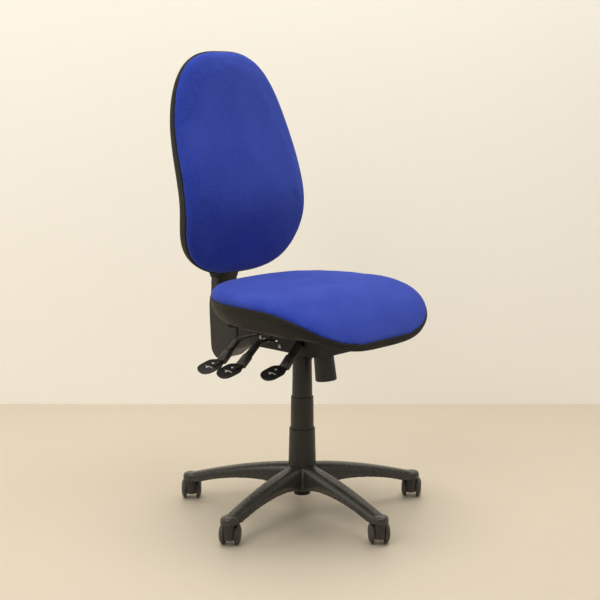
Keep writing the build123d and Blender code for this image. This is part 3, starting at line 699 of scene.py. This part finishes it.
def make_seat_shell():
    """Moulded bowl with a rolled lip just under the fabric's edge."""
    turns = np.linspace(0, 2 * math.pi, 200, endpoint=False)
    rings = [seat_ring(turns, inset * MM, height * MM) for inset, height in SHELL_LIP]
    forward = np.clip((SEAT_MID_Y - rings[0][:, 1]) / SEAT_HALF_D, 0, 1)
    corner = SHELL_CORNER + (SHELL_FRONT_CORNER - SHELL_CORNER) * forward
    for step in range(1, 13):
        lean = math.radians(7.5 * step)
        ring = seat_ring(turns, LIP_INSET + corner * (1 - math.cos(lean)), 0.0)
        depth = ring[:, 2] - seat_floor(ring[:, 1]) - LIP_DEPTH
        ring[:, 2] -= LIP_DEPTH + depth * math.sin(lean)
        rings.append(ring)
    for inset in (0.095, 0.125, 0.160, 0.200):
        ring = seat_ring(turns, inset, 0.0)
        ring[:, 2] = seat_floor(ring[:, 1])
        rings.append(ring)
    shell = closed_rings("seat_outer_shell", rings)
    finish_piece(shell, "shell_plastic", "shell_plastic", "seat", "seat_shell")


def make_boss(name, x, y, outer, hole):
    """A moulded ring round a screw hole under the seat; its radii are in millimetres."""
    level = float(seat_floor(np.array(y))) / MM
    profile = ((outer + 2, 1.5), (outer + 0.4, 0.2), (outer, -1.4), (outer - 0.8, -2.2))
    profile += ((hole + 0.8, -2.2), (hole, -1.6), (hole, 4.0))
    profile = [(radius, level + height) for radius, height in profile]
    boss = mesh_object(name, *turned_ring(profile, x, y))
    outward(boss)
    finish_piece(boss, "shell_plastic", "shell_plastic", "seat")


ARM_BOSS_X, BOLT_BOSS_X = 0.170, 0.072


def make_seat_bosses():
    for side in (-1, 1):
        label = "left" if side > 0 else "right"
        for end, y in (("front", -0.012), ("rear", 0.068)):
            make_boss(f"arm_boss_{label}_{end}", ARM_BOSS_X * side, y, 10.0, 4.5)
        for end, y in (("front", -0.095), ("rear", 0.085)):
            make_boss(f"bolt_boss_{label}_{end}", BOLT_BOSS_X * side, y, 12.0, 5.0)


# ---- back ------------------------------------------------------------------------------------

BACK_LOW_Z, BACK_TOP_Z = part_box("back_shell")[0][2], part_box("back_shell")[1][2]
BACK_WIDE_Z = 0.770
BACK_HALF_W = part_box("back_shell")[1][0]
EDGE_Z = [0.571, 0.640, 0.740, 0.820, 0.940, 1.131]
EDGE_Y = [0.220, 0.209, 0.1905, 0.2025, 0.2395, 0.282]
EDGE_DEPTH = [0.030, 0.041, 0.045, 0.044, 0.039, 0.0215]
EGG_UPPER, EGG_LOWER = (2.4, 0.33), (3.0, 0.36)

back_edge = smooth_curve(EDGE_Z, EDGE_Y)
back_depth = smooth_curve(EDGE_Z, EDGE_DEPTH)


def egg_width(rise, powers):
    return np.clip(1 - rise ** powers[0], 0, 1) ** powers[1]


def back_ring(turns, inset, behind):
    """A loop of the back's egg outline, shrunk by inset, at a distance behind the edge line."""
    s = np.sin(turns)
    reach = np.where(s > 0, BACK_TOP_Z - BACK_WIDE_Z, BACK_WIDE_Z - BACK_LOW_Z)
    rise = np.abs(s)
    width = np.where(s > 0, egg_width(rise, EGG_UPPER), egg_width(rise, EGG_LOWER))
    x = np.sign(np.cos(turns)) * width * (BACK_HALF_W - inset)
    z = BACK_WIDE_Z + np.sign(s) * rise * (reach - inset)
    return np.stack([x, back_edge(z) + behind, z], axis=1)


def egg_turns(count):
    """Turns that space the loop's points evenly along the egg."""
    fine = np.linspace(0, 2 * math.pi, 20000)
    loop = back_ring(fine, 0.0, 0.0)
    run = np.concatenate([[0], np.cumsum(np.linalg.norm(np.diff(loop, axis=0), axis=1))])
    return np.interp(np.linspace(0, run[-1], count, endpoint=False), run, fine)


BACK_ROLL = (
    (110, 4.0), (50, 4.0), (10, 4.0), (5, 3.0), (2.2, 0.5), (0.7, -2.5), (0.3, -6.5), (1.6, -11.0),
    (5.0, -15.0), (10.5, -18.4), (18.0, -20.8), (27.0, -22.2),
)  # fmt: skip
BACK_RISE, BACK_CROWN = 22.2, 2.6
BACK_HELD = 0.006


def make_back_cushion():
    """Fabric rolled over the rim of the dish, with a low crown in front."""
    turns = egg_turns(170)
    rings = [back_ring(turns, inset * MM, behind * MM) for inset, behind in BACK_ROLL]
    for inset in (38, 55, 76, 100, 128, 158, 184):
        rise = BACK_RISE + BACK_CROWN * (1 - ((190 - inset) / 165.0) ** 2)
        rings.append(back_ring(turns, inset * MM, -rise * MM))
    cushion = closed_rings("back_upholstery", rings)
    upholster(cushion, lambda p: p[:, 1] > back_edge(p[:, 2]) - BACK_HELD)
    finish_piece(cushion, "blue_fabric", "blue_fabric", "back", "back_cushion")


DISH_CORNER = 0.034
DISH_LOW_CORNER = 0.022
DISH_CORNER_Z, DISH_CORNER_RUN = 0.60, 0.30
DISH_SHARE = 0.86
DISH_LIP = (
    (9.0, -0.5), (6.0, -2.0), (3.0, -2.4), (0.9, -1.4), (0.2, 0.4), (0.5, 2.4), (1.6, 3.8), (2.0, 5.2),
)  # fmt: skip
DISH_LIP_INSET, DISH_LIP_DEPTH = 0.002, 0.0052


def make_back_shell():
    """Moulded dish behind the fabric, with a rolled lip and sides that round away at once."""
    turns = egg_turns(200)
    rings = [back_ring(turns, inset * MM, behind * MM) for inset, behind in DISH_LIP]
    high = np.clip((rings[0][:, 2] - DISH_CORNER_Z) / DISH_CORNER_RUN, 0.0, 1.0)
    corner = DISH_LOW_CORNER + (DISH_CORNER - DISH_LOW_CORNER) * high
    for step in range(1, 13):
        lean = math.radians(7.5 * step)
        ring = back_ring(turns, DISH_LIP_INSET + corner * (1 - math.cos(lean)), 0.0)
        depth = DISH_SHARE * back_depth(ring[:, 2]) - DISH_LIP_DEPTH
        ring[:, 1] += DISH_LIP_DEPTH + depth * math.sin(lean)
        rings.append(ring)
    for inset in (0.056, 0.076, 0.100, 0.130, 0.165):
        ring = back_ring(turns, inset, 0.0)
        ring[:, 1] += DISH_SHARE * back_depth(ring[:, 2])
        rings.append(ring)
    shell = closed_rings("back_outer_shell", rings)
    finish_piece(shell, "shell_plastic", "shell_plastic", "back", "back_shell")


BAR_Y = 0.270
BAR_BEND_Z = 0.560
BAR_LEAN = math.tan(math.radians(9.0))


def bar_y(z):
    """Middle of the upright bar, straight up to its bend and then leaning forward."""
    return BAR_Y - max(0.0, z - BAR_BEND_Z) * BAR_LEAN


def channel_section(half, front, rear, corner, wall, level):
    """A U seen from above, open to the front, as a closed loop with its wall's thickness."""
    outer, inner = [], []
    for side, start in ((-1, 180), (1, 90)):
        centre = (side * (half - corner), rear - corner)
        for k in range(7):
            turn = math.radians(start - 15 * k)
            c, s = math.cos(turn), math.sin(turn)
            outer.append((centre[0] + corner * c, centre[1] + corner * s))
            inner.append((centre[0] + (corner - wall) * c, centre[1] + (corner - wall) * s))
    outer = [(-half, front), *outer, (half, front)]
    inner = [(-half + wall, front), *inner, (half - wall, front)]
    return [(x, y, level) for x, y in outer + inner[::-1]]


CHANNEL_Z = [0.560, 0.573, 0.592, 0.625, 0.815]
CHANNEL_Y = [0.2920, 0.2962, 0.2930, 0.2838, 0.2538]
channel_rear = smooth_curve(CHANNEL_Z, CHANNEL_Y)
CHANNEL_TOP_Z, CHANNEL_FADE = 0.815, 0.050
MOUTH_TOP_Z, MOUTH_RUN, MOUTH_Y = 0.590, 0.022, 0.2590
MOUTH_STATIONS = [0.560, 0.562, 0.565, 0.570, 0.576, 0.583]
CHANNEL_HALF, CHANNEL_SPREAD, MOUTH_NARROWING = 0.030, 0.012, 0.0055
CHANNEL_CORNER = 0.016
CHANNEL_WALL = 0.0026


def make_spine_cover():
    """Channel moulded on the back of the dish, drawn in at its mouth, in which the upright bar runs."""
    rows = []
    for z in [*MOUTH_STATIONS, *np.linspace(MOUTH_TOP_Z, CHANNEL_TOP_Z, 29)]:
        fade = min(1.0, max(0.0, (CHANNEL_TOP_Z - z) / CHANNEL_FADE))
        fade = fade * fade * (3 - 2 * fade)
        surface = float(back_edge(z)) + DISH_SHARE * float(back_depth(z))
        rear = surface + 0.002 + (float(channel_rear(z)) - surface) * fade
        root = min(surface - 0.004, rear - 0.010)
        below = min(1.0, max(0.0, (MOUTH_TOP_Z - z) / MOUTH_RUN))
        front = root + (MOUTH_Y - root) * below
        half = CHANNEL_HALF + CHANNEL_SPREAD * fade - MOUTH_NARROWING * below * below
        corner = min(CHANNEL_CORNER, 0.45 * (rear - front) + 0.003)
        rows.append(channel_section(half, front, rear, corner, CHANNEL_WALL, z))
    cover = mesh_object("back_spine_channel", *capped_rows(rows))
    outward(cover)
    edges = cover.modifiers.new("edges", "BEVEL")
    edges.width = 0.0010
    edges.segments = 2
    edges.angle_limit = math.radians(50)
    finish_piece(cover, "shell_plastic", "shell_plastic", "back")


# ---- upright cover ---------------------------------------------------------------------------

BOOT_LOW_Z, BOOT_TOP_Z = 0.352, 0.602
BOOT_HALF_W = 0.040
FOOT_TOP_Z, STEP_TOP_Z, NECK_TOP_Z = 0.4455, 0.4750, 0.5550
FOOT_LOW_Y, FOOT_TIP_Y, FOOT_SLOPE = 0.250, 0.186, 1.4
STEP_DEPTH, STEP_RUN = 0.040, 0.0295
BOOT_NECK_Y, BOOT_MOUTH_Y, MOUTH_AHEAD = 0.253, 0.2565, 0.017
BOOT_REAR_Y = 0.287
BOOT_CORNER = 0.034
BOOT_EDGE = 0.009
BOOT_RINGS = (
    (0.3525, -6.0), (0.3535, -2.5), (0.3560, 0.0), (0.3620, 0.0), (0.3700, 0.0), (0.3780, 0.0),
    (0.3860, 0.2), (0.4150, 0.4), (0.4400, 0.7), (0.4700, 1.0), (0.4900, 1.0), (0.4990, 0.4),
    (0.5070, -1.4), (0.5150, -3.6), (0.5230, -5.2), (0.5330, -6.0), (0.5500, -6.2), (0.5700, -6.0),
    (0.5880, -5.6), (0.6000, -5.0), (0.6015, -7.0), (0.6020, -10.0),
)  # fmt: skip


def boot_front(z):
    """A foot over the arm, its underside rising forward, then a step back to the slim neck."""
    if z < FOOT_TOP_Z:
        return max(FOOT_TIP_Y, FOOT_LOW_Y - (z - BOOT_LOW_Z) * FOOT_SLOPE)
    if z < STEP_TOP_Z:
        return BOOT_NECK_Y - STEP_DEPTH * ((STEP_TOP_Z - z) / STEP_RUN) ** 3
    if z < NECK_TOP_Z:
        return BOOT_NECK_Y + 0.0035 * min(1.0, max(0.0, (z - 0.500) / 0.030))
    mouth = bar_y(BOOT_TOP_Z) - MOUTH_AHEAD
    return BOOT_MOUTH_Y + (mouth - BOOT_MOUTH_Y) * (z - NECK_TOP_Z) / 0.047


def boot_rear(z):
    """Rounded at the bottom, then nearly upright, leaning in towards the mouth."""
    if z < BOOT_LOW_Z + BOOT_CORNER:
        drop = (BOOT_LOW_Z + BOOT_CORNER - z) / BOOT_CORNER
        return BOOT_REAR_Y - BOOT_CORNER * (1 - math.sqrt(max(0.0, 1 - drop * drop)))
    return min(BOOT_REAR_Y + 0.0035 * min(1.0, (z - 0.386) / 0.080), 0.2805 + 0.2 * (0.600 - z))


def make_upright_cover():
    """Moulded boot round the foot of the upright: broad foot, slim neck, slightly flared mouth."""
    rows = []
    for z, swell in BOOT_RINGS:
        half = BOOT_HALF_W + swell * MM
        shrink = -swell * MM if z < 0.355 or z > 0.601 else 0.0
        front, rear = boot_front(z) + shrink, boot_rear(z) - shrink
        middle, reach = (front + rear) / 2, (rear - front) / 2
        corner = min(BOOT_EDGE, 0.8 * min(half, reach))
        row = []
        for sx, sy, start in ((1, 1, 0), (-1, 1, 90), (-1, -1, 180), (1, -1, 270)):
            for k in range(7):
                turn = math.radians(start + 15 * k)
                x = sx * (half - corner) + corner * math.cos(turn)
                row.append((x, middle + sy * (reach - corner) + corner * math.sin(turn), z))
        rows.append(row)
    boot = mesh_object("upright_boot", *capped_rows(rows))
    outward(boot)
    finish_piece(boot, "cover_plastic", "cover_plastic", "back_arm", "upright_cover")


# ---- lever grips -----------------------------------------------------------------------------

GRIP_DROOP = math.radians(12.0)
GRIP_ROLL = math.radians(-20.0)
GRIP_LENGTH = 0.075
NECK_Z = 0.394
NECK_HALF_W, BELLY_GAIN = 0.0110, 0.0095
NECK_CROWN = 2.2
LEVERS = {
    "height": (-0.112, -0.049, (0.046, 0.047)),
    "back": (-0.167, 0.106, (0.059, 0.046)),
    "seat": (-0.167, 0.040, (0.059, 0.046)),
}


def grip_half(u):
    """Half-width of the spoon, u along it: narrow at the neck, widest by the middle, round at the tip."""
    t = np.clip(u / GRIP_LENGTH, 0, 1)
    belly = NECK_HALF_W + BELLY_GAIN * np.sin(np.clip((t - 0.02) / 0.34, 0, 1) * math.pi / 2) ** 2
    return belly * np.sqrt(np.clip(1 - np.clip((t - 0.42) / 0.58, 0, 1) ** 4.6, 0, 1))


GRIP_SECTION = (
    (-1.0, 0.0), (-0.985, 1.3), (-0.94, 2.2), (-0.88, 2.3), (-0.81, 1.7), (-0.72, 0.9), (-0.5, 0.55),
    (-0.25, 0.4), (0.0, 0.35), (0.25, 0.4), (0.5, 0.55), (0.72, 0.9), (0.81, 1.7), (0.88, 2.3),
    (0.94, 2.2), (0.985, 1.3), (1.0, 0.0), (0.97, -1.6), (0.86, -3.0), (0.6, -4.1), (0.3, -4.6),
    (0.0, -4.7), (-0.3, -4.6), (-0.6, -4.1), (-0.86, -3.0), (-0.97, -1.6),
)  # fmt: skip


def grip_frame(lever):
    """Local axes of a grip: u outward along it, v across, w up out of its face, placed at the neck."""
    x, y, _ = LEVERS[lever]
    turn = Matrix.Rotation(-GRIP_DROOP, 4, "Y") @ Matrix.Rotation(math.pi, 4, "Z")
    return Matrix.Translation((x, y, NECK_Z)) @ turn @ Matrix.Rotation(GRIP_ROLL, 4, "X")


def place_points(frame_matrix, points):
    return [frame_matrix @ Vector(point) for point in points]


def make_grip(lever):
    """Dished spoon with a raised rim, which replaces the lever's plain paddle."""
    body, node = f"{lever}_control", f"{lever}_paddle"
    stations = [*np.linspace(-0.004, 0.050, 16), *(0.050 + 0.025 * np.sin(np.linspace(0.12, 1.53, 12)))]
    rings = []
    for u in stations:
        half = float(grip_half(np.array(u)))
        swell = min(1.0, half / 0.010)
        dish = min(1.0, max(0.0, (u - 0.004) / 0.014))
        ring = []
        for across, height in GRIP_SECTION:
            level = height if height <= 0 else NECK_CROWN * (1 - across**4) * (1 - dish) + height * dish
            ring.append((u, across * half, level * swell * MM))
        rings.append(ring)
    points = [point for ring in rings for point in ring]
    count = len(GRIP_SECTION)
    points += [(stations[0] - 0.002, 0.0, -0.001), (GRIP_LENGTH + 0.0002, 0.0, -0.0004)]
    faces = ring_faces(len(rings), count)
    neck, tip = len(points) - 2, len(points) - 1
    last = (len(rings) - 1) * count
    for k in range(count):
        n = (k + 1) % count
        faces.append((neck, n, k))
        faces.append((tip, last + k, last + n))
    grip = mesh_object(f"{lever}_grip", place_points(grip_frame(lever), points), faces)
    outward(grip)
    finer = grip.modifiers.new("finer", "SUBSURF")
    finer.levels = 1
    finer.render_levels = 1
    finish_piece(grip, "paddle_plastic", "paddle_plastic", body, node)


SLEEVE_RINGS = (
    (-0.005, 0.86), (-0.003, 1.0), (0.012, 0.98), (0.026, 0.95), (0.0285, 0.88), (0.0290, 0.76),
    (0.046, 0.74), (0.0640, 0.72), (0.0655, 0.66), (0.0660, 0.52),
)  # fmt: skip
SLEEVE_HALF_W, SLEEVE_HALF_H = 0.0128, 0.0082


def make_sleeve(lever):
    """Moulded sleeve that runs up the steel arm from the grip, with a step part way and at its end."""
    x, y, (run, rise) = LEVERS[lever]
    along = Vector((run, 0, rise)).normalized()
    lift = Vector((-along.z, 0, along.x))
    rings = []
    for distance, swell in SLEEVE_RINGS:
        centre = Vector((x, y, NECK_Z)) + along * distance
        ring = []
        for k in range(24):
            c, s = math.cos(math.pi * k / 12), math.sin(math.pi * k / 12)
            across = SLEEVE_HALF_W * swell * math.copysign(abs(c) ** 0.5, c)
            level = SLEEVE_HALF_H * swell * math.copysign(abs(s) ** 0.5, s)
            ring.append(centre + Vector((0, across, 0)) + lift * level)
        rings.append(ring)
    sleeve = mesh_object(f"{lever}_arm_sleeve", *capped_rows(rings))
    outward(sleeve)
    finish_piece(sleeve, "paddle_plastic", "paddle_plastic", f"{lever}_control")


SYMBOL_SCALE = 1.45
SYMBOL_LIFT, INK_THICKNESS = 0.00065, 0.00025
DOUBLE_ARROW = (
    (0, 6), (3, 2.5), (1.1, 2.5), (1.1, -2.5), (3, -2.5), (0, -6), (-3, -2.5), (-1.1, -2.5),
    (-1.1, 2.5), (-3, 2.5),
)  # fmt: skip
CHAIR_MARK = (
    (-4, 6), (-2.6, 6), (-1.6, -0.6), (4.5, -0.6), (4.5, -2.2), (1.2, -2.2), (1.2, -6), (-0.6, -6),
    (-0.6, -2.2), (-3, -2.2),
)  # fmt: skip


def make_symbol(lever):
    """Two small marks printed in the dish of the grip: a double arrow and a chair from its side."""
    points, faces = [], []
    scale = SYMBOL_SCALE * MM
    for outline, middle in ((DOUBLE_ARROW, 0.026), (CHAIR_MARK, 0.046)):
        first = len(points)
        points += [(middle + scale * x, scale * y, SYMBOL_LIFT) for x, y in outline]
        faces.append(tuple(range(first, len(points))))
    mark = mesh_object(f"{lever}_symbol", place_points(grip_frame(lever), points), faces, smooth=False)
    thick = mark.modifiers.new("ink", "SOLIDIFY")
    thick.thickness = INK_THICKNESS
    thick.offset = 0.0
    finish_piece(mark, "ink", "paddle_plastic", f"{lever}_control")


BOLT_PLACES = ((0.0205, 0.4235), (0.0600, 0.4335), (0.0850, 0.4365))
WASHER = ((0.0, 4.6), (0.5, 4.6))
HEXAGON = ((0.5, 3.6), (2.4, 3.6), (2.9, 3.0))


def make_housing_bolts():
    """Zinc hexagon heads on washers, on the lever side of the mechanism's housing."""
    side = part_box("mech_housing")[0][0]
    turns = 2 * math.pi * np.arange(24) / 24
    circle = np.ones(24)
    hexagon = np.cos(math.pi / 6) / np.cos((turns % (math.pi / 3)) - math.pi / 6)
    for number, (y, z) in enumerate(BOLT_PLACES, start=1):
        rings = []
        for outline, steps in ((circle, WASHER), (hexagon, HEXAGON)):
            for height, radius in steps:
                reach = radius * MM * outline
                x = np.full(24, side - height * MM)
                ring = [x, y + reach * np.cos(turns), z + reach * np.sin(turns)]
                rings.append(np.stack(ring, axis=1))
        bolt = closed_rings(f"housing_bolt_{number}", rings)
        for polygon in bolt.data.polygons:
            polygon.use_smooth = False
        finish_piece(bolt, "zinc_steel", "zinc_steel", "column")


MATERIALS = make_materials()
add_camera()
add_studio()
make_base()
make_seat_cushion()
make_seat_shell()
make_seat_bosses()
make_back_cushion()
make_back_shell()
make_spine_cover()
make_upright_cover()
make_housing_bolts()
for lever in LEVERS:
    make_grip(lever)
    make_sleeve(lever)
    make_symbol(lever)

SLOT_OF = {entry["node"]: entry["material_slot"] for entry in frame["record"]["subparts"]}
for name, node in NODES.items():
    node.data.materials.clear()
    node.data.materials.append(MATERIALS[SLOT_OF[name]])
